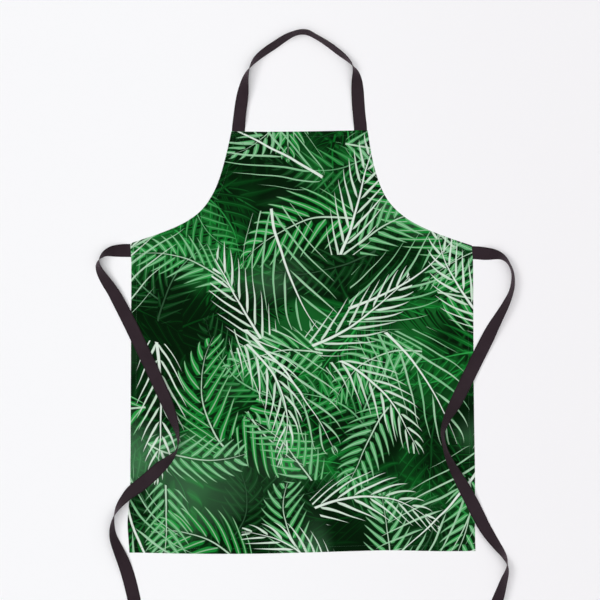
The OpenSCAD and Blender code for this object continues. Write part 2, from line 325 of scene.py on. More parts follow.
# %% What a tie rests on
CLIMB = 30 * MM  # length over which a tie climbs onto the skirt
STEP_ROOM = 2 * MM  # the climb ends this far outside the cloth
SEAM_ROOM = 14  # from a seam's middle to just past the tape's edge, in millimetres


def tie_rest(x, y):
    """The table outside the skirt, and the cloth's face inside it, with a climb between them."""
    inside = np.minimum(SKIRT_HALF * MM - abs(x), y - BIB_TOP - SKIRT_FOOT * MM)
    by_seam = y - BIB_TOP > (TIE_SEAM[1] - SEAM_ROOM) * MM
    under_cloth = by_seam * (abs(x) < TIE_SEAM[0] * MM + CLIMB)
    climbed = ease((inside + CLIMB + TAPE_WIDTH / 2 + STEP_ROOM) / CLIMB)
    return np.where(under_cloth, 0, climbed * (CROSSING + lift(x, y)))


print("height of a tie on the skirt in mm:", round(float(tie_rest(0.0, -0.1)) / MM, 2))


def waist_tie(hand, side, route):
    """One tie, laid along its route from the seam on its side."""
    seam_x, seam_y = side * TIE_SEAM[0], TIE_SEAM[1]
    placed = [[seam_x + x, seam_y + y, roll] for x, y, roll in route]
    tie, path = tape_mesh(hand + "_waist_tie", placed, tie_rest)
    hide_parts("tie_" + hand, "tie_tail_" + hand)
    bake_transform(tie)
    return tie


left_tie = waist_tie("left", -1, left_route)
right_tie = waist_tie("right", 1, right_route)

# %% [markdown]
# ## Neck strap
# The neck strap is one length of the same tape, sewn under both bib corners. On the table it
# rolls outwards over its edge at each shoulder, and between them it leans away from the bib.
# In the CAD model it folds over the bib about the bib's top edge; here it is laid as it rests, on
# the table.

# %% Neck strap
neck_route = [
    [-117.5, -28, 0], [-117.5, -10, 0], [-117.5, 1, 0], [-117.2, 8, 0], [-116.3, 20, -12],
    [-114, 44, -16], [-110.8, 68, -22], [-109, 82, -37], [-106.5, 98, -56],
    [-102.5, 112, -72], [-97, 122.5, -88], [-88, 135, -104], [-70, 150.5, -114],
    [-48, 165.5, -115], [-30, 177.5, -111], [-14, 185.5, -103], [-1, 189, -102],
    [12, 188.5, -104], [25, 182, -101], [53, 165, -105], [75, 148.5, -106], [88, 138, -99],
    [99, 126, -86], [105.5, 114, -62], [108, 99, -38], [109.5, 83, -20], [112, 52, -10],
    [115.3, 22, -10], [117.2, 8, 0], [117.5, 1, 0], [117.5, -10, 0], [117.5, -28, 0],
]


def on_table(x, y):
    return 0 * x


leaning_route = [[x + float(lean(y)), y, roll] for x, y, roll in neck_route]
neck_tape, neck_path = tape_mesh("neck_tape", leaning_route, on_table)
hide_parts("neck_strap", "neck_tail_left", "neck_tail_right")
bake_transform(neck_tape)
print("the strap's middle is highest at, in mm:", round(neck_path[:, 2].max() / MM, 1))

# %% [markdown]
# ## Cloth
# The panel and its six hems are one piece of cloth. Its rim is built from rings set in from
# the outline, so the hem's rounded fold, its stitched groove and its inner edge each follow
# the outline. A Delaunay triangulation fills the inside with even triangles, which a grid
# stretched over this outline wouldn't give.

# %% The panel's outline: six edges, clockwise from the bib's left corner
BIB_HALF, BIB_DROP, WAIST_HALF = 131, 218, 328.5
RIM_STEP = 3.0
ARMHOLE_POINTS = 105
# The armhole leaves each end at an angle, and holds it for a share of the bib's size.
TOP_FROM_PLUMB, TOP_HOLD = math.radians(10), 0.72
WAIST_FROM_LEVEL, WAIST_HOLD = math.radians(18), 0.78


def armhole(t):
    """The right armhole's curve, from the bib's corner to the waist's."""
    down = np.array([math.sin(TOP_FROM_PLUMB), -math.cos(TOP_FROM_PLUMB)])
    inwards = np.array([-math.cos(WAIST_FROM_LEVEL), math.sin(WAIST_FROM_LEVEL)])
    a, d = np.array([BIB_HALF, 0]), np.array([WAIST_HALF, -BIB_DROP])
    b = a + TOP_HOLD * BIB_DROP * down
    c = d + WAIST_HOLD * (WAIST_HALF - BIB_HALF) * inwards
    t = t[:, None]
    return (1 - t) ** 3 * a + 3 * (1 - t) ** 2 * t * b + 3 * (1 - t) * t * t * c + t**3 * d


def straight(a, b):
    return np.linspace(a, b, int(math.dist(a, b) / RIM_STEP) + 1)


def mirrored(path):
    return path[::-1] * [-1, 1]


right_armhole = armhole(np.linspace(0, 1, ARMHOLE_POINTS))
right_side = straight((WAIST_HALF, -BIB_DROP), (SKIRT_HALF, SKIRT_FOOT))
edges = [
    straight((-BIB_HALF, 0), (BIB_HALF, 0)),
    right_armhole,
    right_side,
    straight((SKIRT_HALF, SKIRT_FOOT), (-SKIRT_HALF, SKIRT_FOOT)),
    mirrored(right_side),
    mirrored(right_armhole),
]
ARMHOLES = (1, 5)
print("points on each edge:", [len(edge) for edge in edges])

# %% [markdown]
# A ring set in from the outline needs mitred corners, where two hems meet. A straight edge is
# simply stretched between its two mitres. On a curved edge that would spoil the curve, so
# there a mitre's shift fades away over the first third of the edge.

# %% Rings set in from the outline
MITRE_FADE = 0.3


def inward(path):
    """Unit directions into the cloth along an edge."""
    along = np.gradient(path, axis=0)
    along /= np.linalg.norm(along, axis=1)[:, None]
    return np.column_stack([along[:, 1], -along[:, 0]])


normals = [inward(edge) for edge in edges]


def set_in(k, depth):
    """Edge k set in by depth, mitred with its neighbours."""
    path, n = edges[k], normals[k]
    before, after = normals[k - 1][-1], normals[(k + 1) % 6][0]
    moved = path + depth * n
    run = run_along(path)
    share = run / run[-1]
    start = path[0] + depth * (before + n[0]) / (1 + before @ n[0]) - moved[0]
    end = path[-1] + depth * (after + n[-1]) / (1 + after @ n[-1]) - moved[-1]
    near_start, near_end = 1 - share, share
    if k in ARMHOLES:
        near_start = np.clip(1 - share / MITRE_FADE, 0, 1) ** 2
        near_end = np.clip(1 - (1 - share) / MITRE_FADE, 0, 1) ** 2
    return moved + near_start[:, None] * start + near_end[:, None] * end


def rim(depth):
    """The whole outline set in by depth, in millimetres."""
    return np.concatenate([set_in(k, depth)[:-1] for k in range(6)])


outline = rim(0)
outline_run = run_along(outline)
print("points round the rim:", len(outline))

# %% [markdown]
# Cloth never lies quite true. Its corners and hems wander a few millimetres, and the hem
# stands as a low ridge, because it has three layers where the panel has one. A stitched line
# pulls a shallow groove, and the thread gathers the hem into fine puckers. A cloth simulation
# could find such forms, but on a flat table they are small and known, so sums place them.

# %% How the outline wanders
# x, y, spread along x, spread along y, shift x, shift y, in millimetres
WANDERS = [
    [-331, -752, 200, 42, -4.5, 0],
    [332, -690, 200, 120, 1.8, 0],
    [332, -812, 200, 30, 1.5, 0],
    [-150, -810, 150, 140, 0, -3.4],
    [160, -810, 100, 140, 0, 3.6],
    [331, -810, 70, 120, 0, 2.0],
    [-60, 0, 90, 60, 0, -1.0],
    [120, 0, 70, 60, 0, 1.5],
    [-329, -222, 130, 60, 0, 2.2],
    [329, -222, 130, 60, 0, -1.8],
]


def lie(points):
    """Moves outline points, in millimetres, by the cloth's lean and wander."""
    shifted = points.copy()
    shifted[:, 0] += lean(points[:, 1])
    for x, y, wide, high, dx, dy in WANDERS:
        near = np.exp(-(((points[:, 0] - x) / wide) ** 2) - ((points[:, 1] - y) / high) ** 2)
        shifted += near[:, None] * [dx, dy]
    return shifted


def laid(points, height):
    """Flat points, in millimetres, where the cloth lies, at a height in metres."""
    return np.column_stack([lie(points) * MM + [0, BIB_TOP], height])


print("furthest shift in mm:", round(float(abs(lie(outline) - outline).max()), 1))

# %% How high the face lies
HEM = 12  # width of a turned hem, in millimetres
HEM_STITCH = 10  # the stitching's distance from the edge
GROOVE, GROOVE_WIDTH = 0.22, 1.1
SETTLE, SETTLE_RUN = 0.45, 16  # the panel sinks this much inside its hems
PUCKER, PUCKER_AT, PUCKER_WIDTH = 0.13, 8, 7.0
TENT, TENT_SLOPE = 2, 8  # past a sewn end, the cloth is held up and then comes down


def over_tape(points, room):
    """1 where a sewn end of tape lies under the cloth, and 0 further than room from it."""
    x, y = abs(points[:, 0]), points[:, 1]
    neck_far = np.maximum(abs(x - NECK_X) - HALF_TAPE, -y - TAIL)
    tie_far = np.maximum(TIE_SEAM[0] - TAIL - x, abs(y - TIE_SEAM[1]) - HALF_TAPE)
    return 1 - ease((np.minimum(neck_far, tie_far) - TENT) / room)


def ripple(points):
    """The ripples' height, in metres, under points in millimetres."""
    return lift(points[:, 0] * MM, points[:, 1] * MM + BIB_TOP)


def face_height(points, depth, run):
    """Height of the printed face, in metres, at a depth in from the edge and a run along it."""
    settled = SETTLE * ease((depth - HEM) / SETTLE_RUN) * (1 - over_tape(points, TENT_SLOPE))
    groove = GROOVE * np.exp(-(((depth - HEM_STITCH) / GROOVE_WIDTH) ** 2))
    gathers = np.sin(run / 2.3 + 2.0 * np.sin(run / 31)) + 0.7 * np.sin(run / 3.7 + 1.3)
    pucker = PUCKER * np.exp(-(((depth - PUCKER_AT) / PUCKER_WIDTH) ** 2)) * gathers
    return FACE + (pucker - settled - groove) * MM + ripple(points)


stitched = face_height(rim(HEM_STITCH), HEM_STITCH, outline_run) / MM
print("face along the stitching in mm:", round(stitched.min(), 2), "to", round(stitched.max(), 2))

# %% [markdown]
# Seen from the side, the edge is a rounded fold. The rings start on the face, run out over
# the fold and come back under the hem. A Solidify modifier would give one thickness all over,
# but a hem has three layers and the panel has one, so the back gets heights of its own.

# %% The rings of the rim, from the face round the fold to the back
FOLD_ROUND = 0.7
FLATTENED = 0.3  # what is left of the rounding where a tape lies under the fold
TAPE_ROOM = 3
FACE_DEPTHS = [18, 14.5, 12.6, 11.4, 10, 8.6, 6, 3, 1.4, 0.7, 0.25]
BACK_DEPTHS = [0.25, 0.7, 1.4, 6, 8.6, 10, 11.4, 12, 12.3, 18]


def rounded(depth):
    """How far the fold's rounding falls below its flat, in metres."""
    short = np.clip(1 - depth / FOLD_ROUND, 0, 1)
    return FOLD_ROUND * (1 - np.sqrt(1 - short**2)) * MM


def edge_height():
    """Height of the fold's outermost line: halfway from the face to what lies under it."""
    tape_under = over_tape(outline, TAPE_ROOM)
    face = face_height(outline, 0.0, outline_run)
    under = ripple(outline) * (1 - tape_under) + (face - CLOTH) * tape_under
    return (face + under) / 2


def back_height(depth):
    """Height of the back: the hem's lowest layer, or the panel's where it has no hem."""
    points = rim(depth)
    back = face_height(points, depth, outline_run) - CLOTH
    in_hem = (1 - over_tape(points, TAPE_ROOM)) * (depth <= HEM)
    hem = ripple(points) + rounded(depth) + GROOVE * MM * (depth == HEM_STITCH)
    return hem * in_hem + (back + rounded(depth) * FLATTENED) * (1 - in_hem)


face_rings = [(d, face_height(rim(d), d, outline_run) - rounded(d)) for d in FACE_DEPTHS]
back_rings = [(d, back_height(d)) for d in BACK_DEPTHS]
rings = face_rings + [(0, edge_height())] + back_rings
print("rings in the rim:", len(rings))

# %% Even points and triangles inside the rim
GRID_X, GRID_Y = 7.0, 6.1
RIM_CLEAR = 22  # the grid keeps this far from the outline
WELL_INSIDE = 30.0  # taken for a point that the triangulation adds


def inside_loop(points, loop):
    """Which points lie in a closed loop: a ray to one side crosses it an odd number of times."""
    a, b = loop, np.roll(loop, -1, axis=0)
    crosses = (a[None, :, 1] > points[:, None, 1]) != (b[None, :, 1] > points[:, None, 1])
    rise = np.where(b[:, 1] == a[:, 1], 1, b[:, 1] - a[:, 1])
    meet = a[None, :, 0] + (points[:, None, 1] - a[None, :, 1]) * ((b - a)[:, 0] / rise)[None]
    return ((crosses & (points[:, None, 0] < meet)).sum(1) % 2).astype(bool)


def inside_grid():
    """Staggered points inside the rim, and how far each is from the outline."""
    xs, ys = np.arange(-340, 340, GRID_X), np.arange(-820, 10, GRID_Y)
    grid = np.array([[x + GRID_X / 2 * (j % 2), y] for j, y in enumerate(ys) for x in xs])
    grid = grid[inside_loop(grid, rim(FACE_DEPTHS[0]))]
    tree = kdtree.KDTree(len(outline))
    for i, (x, y) in enumerate(outline):
        tree.insert((x, y, 0), i)
    tree.balance()
    far = np.array([tree.find((x, y, 0))[2] for x, y in grid])
    return grid[far > RIM_CLEAR], far[far > RIM_CLEAR]


def fill():
    """Triangles over the inside: its points, how far in each lies, and the triangles' corners."""
    grid, far = inside_grid()
    flat = [tuple(p) for p in np.concatenate([rim(FACE_DEPTHS[0]), grid])]
    count = len(outline)
    # Output type 1 keeps only the triangles inside the loop.
    made = geometry.delaunay_2d_cdt(flat, [], [list(range(count))], 1, 1e-6)
    points = np.array([[p[0], p[1]] for p in made[0]])[count:]
    far = np.concatenate([far, np.full(len(points) - len(far), WELL_INSIDE)])
    return points, far, [list(f) for f in made[2]]


inner_points, inner_far, triangles = fill()
print("points and triangles inside the rim:", len(inner_points), len(triangles))

# %% The cloth's mesh
count = len(outline)
face_from = len(rings) * count
back_from = face_from + len(inner_points)
last_ring = (len(rings) - 1) * count
inner_face = face_height(inner_points, inner_far, 0 * inner_far)

flat = np.concatenate([rim(depth) for depth, _ in rings] + [inner_points, inner_points])
height = np.concatenate([high for _, high in rings] + [inner_face, inner_face - CLOTH])

faces = quads_between(len(rings), count)
faces += [[v if v < count else face_from + v - count for v in t] for t in triangles]
first_back = len(faces)
faces += [
    [last_ring + v if v < count else back_from + v - count for v in t[::-1]] for t in triangles
]

mesh = bpy.data.meshes.new("apron_cloth")
mesh.from_pydata(laid(flat, height).tolist(), [], faces)
face_outwards(mesh)
cloth = put_in_scene("apron_cloth", mesh)

# The print shows on the face and on the turned hems, and the rest of the back is bare.
bare_back = np.zeros(len(faces), np.int32)
bare_back[first_back:] = 1
bare_back[last_ring - count : last_ring] = 1
print("cloth faces:", len(faces), "of them bare:", int(bare_back.sum()))

# %% The cloth's place in the model
hems = [
    "bib_hem", "armhole_hem_left", "armhole_hem_right",
    "side_hem_left", "side_hem_right", "bottom_hem",
]
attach(cloth, "apron")
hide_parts("panel", *hems)
print("CAD pieces that the cloth stands for:", 1 + len(hems))

# %% [markdown]
# ## Nodes from code
# The stitches and the materials below are trees of nodes. Nodes joined by hand hide what they
# work out, so one small class wraps a socket and lets Python write the sum: a + b adds an Add
# node. Every other node comes from its make method.

# %% A socket that can be used in a sum


class Wire:
    """A node's socket. Sums on it add Math nodes to its tree."""

    def __init__(self, tree, socket):
        self.tree, self.socket = tree, socket

    def make(self, kind, sockets, output=0, **settings):
        """Adds a node: its settings first, then the values or wires of its sockets."""
        node = self.tree.nodes.new(kind)
        for name, value in settings.items():
            setattr(node, name, value)
        for name, value in sockets.items():
            if isinstance(value, Wire):
                self.tree.links.new(value.socket, node.inputs[name])
            elif isinstance(value, tuple) and node.inputs[name].type == "RGBA":
                node.inputs[name].default_value = (*value, 1)
            else:
                node.inputs[name].default_value = value
        return Wire(self.tree, node.outputs[output]) if node.outputs else None

    def other(self, output):
        """Another output of the same node."""
        return Wire(self.tree, self.socket.node.outputs[output])

    def maths(self, operation, *values, clamp=False):
        sockets = dict(enumerate(values))
        return self.make("ShaderNodeMath", sockets, operation=operation, use_clamp=clamp)

    def __add__(self, other):
        return self.maths("ADD", self, other)

    __radd__ = __add__

    def __sub__(self, other):
        return self.maths("SUBTRACT", self, other)

    def __rsub__(self, other):
        return self.maths("SUBTRACT", other, self)

    def __mul__(self, other):
        return self.maths("MULTIPLY", self, other)

    __rmul__ = __mul__

    def __truediv__(self, other):
        return self.maths("DIVIDE", self, other)

    def __pow__(self, other):
        return self.maths("POWER", self, other)

    def __abs__(self):
        return self.maths("ABSOLUTE", self)


# %% [markdown]
# ## Stitches
# A line of stitching is one short dash of thread after another, over a thousand on this
# apron. Geometry Nodes lay them: a tree walks each sewn line, sets a point at every stitch,
# and puts a small grain of thread there, turned along the line. A dash would be quicker as a
# bump in the cloth's material, but then it wouldn't catch the light or show from the side.

# %% The stitch tree
STITCH_SIZES = {
    "Pitch": 3.4 * MM, "Stitch length": 2.9 * MM,
    "Thread width": 0.55 * MM, "Thread height": 0.4 * MM,
}


def stitch_tree(thread):
    """Puts a grain of thread every pitch along the edges of a mesh."""
    tree = bpy.data.node_groups.new("sewn line", "GeometryNodeTree")
    ports = tree.interface
    ports.new_socket("Sewn line", in_out="INPUT", socket_type="NodeSocketGeometry")
    for title, size in STITCH_SIZES.items():
        socket = ports.new_socket(title, in_out="INPUT", socket_type="NodeSocketFloat")
        socket.default_value = size
    ports.new_socket("Stitches", in_out="OUTPUT", socket_type="NodeSocketGeometry")

    ends = tree.nodes.new("NodeGroupInput").outputs
    given = {end.name: Wire(tree, end) for end in ends}
    make = given["Sewn line"].make
    line = make("GeometryNodeMeshToCurve", {"Mesh": given["Sewn line"]})
    sockets = {"Curve": line, "Length": given["Pitch"]}
    spots = make("GeometryNodeCurveToPoints", sockets, mode="LENGTH")
    sockets = {"Vector": spots.other("Tangent")}
    turned = make("FunctionNodeAlignRotationToVector", sockets, axis="X", pivot_axis="Z")
    grain = make("GeometryNodeMeshUVSphere", {"Segments": 8, "Rings": 5, "Radius": 0.5})
    size = make("ShaderNodeCombineXYZ", {
        "X": given["Stitch length"], "Y": given["Thread width"], "Z": given["Thread height"],
    })
    placed = make("GeometryNodeInstanceOnPoints", {
        "Points": spots, "Instance": grain, "Rotation": turned, "Scale": size,
    })
    real = make("GeometryNodeRealizeInstances", {"Geometry": placed})
    shaded = make("GeometryNodeSetShadeSmooth", {"Geometry": real, "Shade Smooth": True})
    coated = make("GeometryNodeSetMaterial", {"Geometry": shaded, "Material": thread})
    make("NodeGroupOutput", {"Stitches": coated})
    print("nodes in the stitch tree:", len(tree.nodes))
    return tree


# %% From sewn lines to a plain mesh


def sew(name, lines, tree):
    """Stitches along lists of points, as one plain mesh."""
    mesh = bpy.data.meshes.new(name + "_lines")
    points, segments = [], []
    for line in lines:
        first = len(points)
        points += [tuple(p) for p in line]
        segments += [(first + i, first + i + 1) for i in range(len(line) - 1)]
    mesh.from_pydata(points, segments, [])
    guide = put_in_scene(name + "_guide", mesh)
    modifier = guide.modifiers.new("stitches", "NODES")
    modifier.node_group = tree
    bpy.context.view_layer.update()
    seen = guide.evaluated_get(bpy.context.evaluated_depsgraph_get())
    sewn = put_in_scene(name, bpy.data.meshes.new_from_object(seen))
    bpy.data.objects.remove(guide)
    print(name, "faces:", len(sewn.data.polygons))
    return sewn


# %% [markdown]
# The hem's stitching runs round the apron 10 mm in from the edge, and shows on the face and
# on the back. It stops at each sewn end of tape, which a box of stitches with a cross in it
# holds through all the layers.

# %% Where the boxed crosses go
# The box's side, its distance from the edge, and the bare cloth round it, in millimetres
TACK, TACK_INSET, TACK_CLEAR = 20, 4, 1.5
TACK_DEPTH = 6.0  # far enough in for the face to be at its full height
STROKE = 9  # points on each line of a cross
ABOVE_FACE, ABOVE_TABLE = 0.05 * MM, 0.2 * MM
neck_tack = (NECK_X, -TACK_INSET - TACK / 2)
tie_tack = (TIE_SEAM[0] - TACK_INSET - TACK / 2, TIE_SEAM[1])


def on_face(points, depth, run):
    """Lifts flat points, in millimetres, onto the cloth's printed face."""
    return laid(points, face_height(points, depth, run) + ABOVE_FACE)


def on_back(points, rise):
    """Puts flat points, in millimetres, on the underside, where it has risen off the table."""
    return laid(points, rise + np.full(len(points), ABOVE_TABLE))


def tack_lines():
    half = TACK / 2
    a, b, c, d = (-half, -half), (half, -half), (half, half), (-half, half)
    lines = []
    for side in (-1, 1):
        for x, y in (neck_tack, tie_tack):
            for start, end in ((a, b), (b, c), (c, d), (d, a), (a, c), (b, d)):
                points = np.linspace(start, end, STROKE) + [side * x, y]
                lines.append(on_face(points, np.full(STROKE, TACK_DEPTH), np.zeros(STROKE)))
                lines.append(on_back(points, 0))
    return lines


crosses = tack_lines()
print("lines in the boxed crosses:", len(crosses))

# %% Where the hems are sewn


def unbroken(points, keep):
    """The unbroken runs of a closed line's points where keep is true."""
    lines, line = [], []
    start = int(np.argmin(keep))
    for i in (np.arange(len(points)) + start) % len(points):
        if keep[i]:
            line.append(points[i])
        elif line:
            lines.append(line)
            line = []
    return lines + ([line] if line else [])


def hem_lines():
    points = rim(HEM_STITCH)
    room = TACK / 2 + TACK_CLEAR
    clear = np.ones(len(points), bool)
    for x, y in (neck_tack, tie_tack):
        clear &= (abs(abs(points[:, 0]) - x) > room) | (abs(points[:, 1] - y) > room)
    off_tape = over_tape(points, TAPE_ROOM) < 0.01
    face = on_face(points, HEM_STITCH, outline_run)
    back = on_back(points, ripple(points))
    return unbroken(face, clear) + unbroken(back, off_tape)


hem_sewing = hem_lines()
print("lines in the hem stitching:", len(hem_sewing))

# %% [markdown]
# ## Materials
# A material is a small sum worked out at each point of the surface: is it on a leaf, and how
# pale is the leaf there? The helpers below name the steps that such sums need.

# %% Helpers on wires


def clamped(value):
    return value.maths("ADD", value, 0.0, clamp=True)


def smooth(value, low, high):
    """0 below low, 1 above high, and a soft step between; low may be the larger."""
    sockets = {"Value": value, "From Min": low, "From Max": high}
    return value.make("ShaderNodeMapRange", sockets, interpolation_type="SMOOTHSTEP")


def mixed(amount, a, b):
    """Colour a where amount is 0, and colour b where it is 1."""
    # A Mix node's colours are its inputs 6 and 7, and its output 2.
    return amount.make("ShaderNodeMix", {0: amount, 6: a, 7: b}, 2, data_type="RGBA")


def parts(vector):
    """The x, y and z of a vector."""
    return [vector.make("ShaderNodeSeparateXYZ", {0: vector}, i) for i in range(3)]


def scaled_and_moved(vector, scale, shift):
    """A vector times scale, plus shift."""
    sockets = {0: vector, 1: scale, 2: shift}
    return vector.make("ShaderNodeVectorMath", sockets, operation="MULTIPLY_ADD")


def waves(value, length):
    """A sine wave along a value, one wave every length."""
    return value.maths("SINE", value * (math.tau / length))


def noise(place, scale, detail, output=0):
    """Soft random blotches: output 0 is a number, and 1 a colour."""
    sockets = {"Vector": place, "Scale": scale, "Detail": detail}
    return place.make("ShaderNodeTexNoise", sockets, output)


def bump(height, strength, distance):
    sockets = {"Strength": strength, "Distance": distance, "Height": height}
    return height.make("ShaderNodeBump", sockets)


# %% The start and the end of each material


def coordinates(owner, kind):
    """Empties the tree of a material or a sky, and adds coordinates of one kind to it."""
    owner.use_nodes = True
    tree = owner.node_tree
    tree.nodes.clear()
    return Wire(tree, tree.nodes.new("ShaderNodeTexCoord").outputs[kind])


def start_material(name):
    """A bare material, and a wire on its Object coordinates."""
    material = bpy.data.materials.new(name)
    return material, coordinates(material, "Object")


def finish_material(material, place, sockets):
    """Joins the surface's sockets to a Principled shader, and gives back the material."""
    shader = place.make("ShaderNodeBsdfPrincipled", sockets)
    place.make("ShaderNodeOutputMaterial", {"Surface": shader})
    print(material.name, "nodes:", len(place.tree.nodes))
    return material


# %% [markdown]
# ## The print
# The face is printed with layered leaves: soft dark ones at the back, mid-green palm fronds,
# paler fern fronds, and thin near-white sprigs in front. An image would need a file and would
# blur close up. Shader maths has neither trouble: each layer cuts the cloth into cells with a
# Voronoi texture, and a cell's random colour turns its frond, bends it and tints it.

# %% Cells, each with its own coordinates
SCATTER = 0.55  # 0 would leave an even grid of cells


def cells(place, size, shift, turn):
    """Local coordinates in a cell, in metres, and three random numbers of the cell."""
    scaled = scaled_and_moved(place, (1 / size, 1 / size, 0), shift)
    sockets = {"Vector": scaled, "Scale": 1.0, "Randomness": SCATTER}
    centre = place.make("ShaderNodeTexVoronoi", sockets, 2, voronoi_dimensions="2D")
    dice = parts(centre.other("Color"))
    offset = place.make("ShaderNodeVectorMath", {0: scaled, 1: centre}, operation="SUBTRACT")
    sockets = {"Vector": offset, "Angle": dice[0] * math.tau + turn}
    turned = place.make("ShaderNodeVectorRotate", sockets, rotation_type="Z_AXIS")
    x, y, _ = parts(turned)
    return x * size, y * size, dice


# %% [markdown]
# A frond is drawn in its own coordinates: u runs along its stem and v away from it. Each
# leaflet is one step of u, slanted forward by how far out it lies. The sums below give masks,
# which are 1 on the leaflets, on their pale ribs or on the stem, and 0 elsewhere.

# %% One frond
STEM_BEND = 1.8  # 0 would leave all stems straight
FOOT_POWER, TIP_POWER = 0.55, 0.75  # the smaller the power, the fuller that end of the outline
LEAST_HALF = 0.0005  # in metres, so that the outline is never nought
CURL = 0.6  # how far forward a leaflet's tip curves, in pitches
LEAFLET_POWER, LEAFLET_FOOT = 0.55, 0.22  # how full its tip is, and where its foot ends
# What makes a leaflet paler: its tip, its own chance, its frond's, and its lit side
BY_TIP, BY_LEAFLET, BY_FROND, BY_SIDE, FOR_ALL = 0.45, 0.6, 0.5, 0.3, 0.15


def frond(u, v, dice, look):
    """Masks of one frond: its leaflets, their ribs, its stem, and each leaflet's own tone."""
    length, pitch = look["length"], look["pitch"]
    # The stem is a shallow bow about the middle of its cell, bent to a random side.
    bend = (dice[1] - 0.5) * (STEM_BEND / length)
    v = v + bend * u * u - bend * (length * length / 14)
    # The outline is full near the foot and pointed at the tip.
    along = clamped(u / length + 0.5)
    side = abs(v)
    widest = 2.0 * look["reach"] * length
    outline = along ** FOOT_POWER * (1 - along) ** TIP_POWER * widest + LEAST_HALF
    out = side / outline
    # Leaflets: u, swept forward, counted in pitches.
    swept = side * look["sweep"] + out * out * (CURL * pitch)
    steps = (u - swept) / pitch
    number = steps.maths("FLOOR", steps)
    offset = steps - number - 0.5
    within = abs(offset)
    grown = smooth(out, 0.0, LEAFLET_FOOT)
    half = (1 - clamped(out)) ** LEAFLET_POWER * grown * look["fullness"]
    blade = smooth(half - within, 0.0, look["soft"]) * smooth(out, 1.0, 0.93)
    rib = smooth(within, 0.08, 0.03) * blade
    thin = (1.15 - along) * look["stem"]
    stem = smooth(side - thin, 0.0, -0.0008) * smooth(along, 0.0, 0.01) * smooth(along, 1.0, 0.97)
    leaflet = steps.make("ShaderNodeCombineXYZ", {"X": number, "Y": dice[2] * 91.0})
    chance = steps.make("ShaderNodeTexWhiteNoise", {"Vector": leaflet}, noise_dimensions="2D")
    tone = out * BY_TIP + (chance - 0.5) * BY_LEAFLET
    tone = tone + (dice[2] - 0.5) * BY_FROND + smooth(offset, -0.05, 0.05) * BY_SIDE
    return blade, rib, stem, clamped(tone + FOR_ALL)


def leaf_layer(under, place, k, look):
    """Paints layer k of fronds over a colour."""
    # Uneven shifts and turns keep the layers' cells apart.
    shift = (3.1 * k + 1.7, 5.3 * k + 2.9, 0)
    u, v, dice = cells(place, look["cell"], shift, 1.3 * k)
    blade, rib, stem, tone = frond(u, v, dice, look)
    # Each cell draws a lot, which leaves some of them bare.
    lot = place.maths("FRACT", dice[1] * 7.0 + dice[2] * 11.0)
    shown = place.maths("GREATER_THAN", lot, look["bare"])
    dark, light, pale = look["colours"]
    leaf = mixed(tone, dark, light)
    leaf = mixed(rib * look["rib"], leaf, pale)
    painted = mixed(blade * shown, under, leaf)
    return mixed(stem * shown, painted, pale)


# %% The layers, from the back to the front
# Sizes are in metres. Reach is half a frond's width as a share of its length, sweep is how far
# its leaflets slant, fullness is half a leaflet's width as a share of the pitch, soft is the
# blur of its edge, and bare is the share of empty cells.
DEEP, DARK, BOTTLE = (0.0012, 0.010, 0.002), (0.003, 0.036, 0.006), (0.008, 0.105, 0.018)
LEAF, FRESH, MINT = (0.006, 0.215, 0.026), (0.028, 0.345, 0.065), (0.17, 0.47, 0.22)
FROST, WHITE = (0.47, 0.66, 0.49), (0.70, 0.80, 0.71)
LOOK = ("cell", "length", "reach", "pitch", "sweep", "fullness", "soft", "stem", "bare", "rib")
back_leaf = dict(zip(LOOK, (0.19, 0.24, 0.36, 0.034, 0.9, 0.46, 0.25, 0.0022, 0.0, 0.3)))
palm = dict(zip(LOOK, (0.20, 0.25, 0.32, 0.026, 1.05, 0.44, 0.12, 0.0022, 0.0, 0.6)))
fern = dict(zip(LOOK, (0.19, 0.23, 0.26, 0.020, 0.85, 0.40, 0.14, 0.0020, 0.2, 0.5)))
plume = dict(zip(LOOK, (0.22, 0.29, 0.21, 0.029, 1.5, 0.22, 0.06, 0.0030, 0.25, 0.0)))
grass = dict(zip(LOOK, (0.25, 0.32, 0.30, 0.056, 2.2, 0.13, 0.03, 0.0030, 0.1, 0.0)))
back_layers = [
    {**back_leaf, "colours": (DEEP, BOTTLE, LEAF)},
    {**back_leaf, "colours": (DARK, LEAF, FRESH)},
    {**palm, "colours": (DEEP, DARK, LEAF)},
    {**palm, "bare": 0.15, "colours": (DARK, LEAF, FRESH)},
    {**fern, "bare": 0.15, "colours": (BOTTLE, FRESH, MINT)},
]
front_layers = [
    {**palm, "bare": 0.4, "colours": (LEAF, FRESH, FROST)},
    {**fern, "bare": 0.3, "colours": (FRESH, MINT, FROST)},
    {**grass, "colours": (MINT, FROST, WHITE)},
    {**plume, "colours": (FROST, WHITE, WHITE)},
]
print("layers of leaves:", len(back_layers) + len(front_layers))

# %% [markdown]
# Between the back layers and the front ones lies a veil: it darkens wide patches to gloom and
# brightens others to mist, which gives the print depth. Last comes the weave of the cloth
# itself, a thread every 0.9 mm in both directions, as a bump. The back has only the weave.

# %% The printed cloth and its bare back
THREAD_PITCH = 0.9 * MM


def plain_weave(place):
    """Threads that cross over and under each other: their height, and a bump made from it."""
    x, y, _ = parts(place)
    weave = waves(x, THREAD_PITCH) * waves(y, THREAD_PITCH)
    return weave, bump(weave, 0.25, 0.12 * MM)


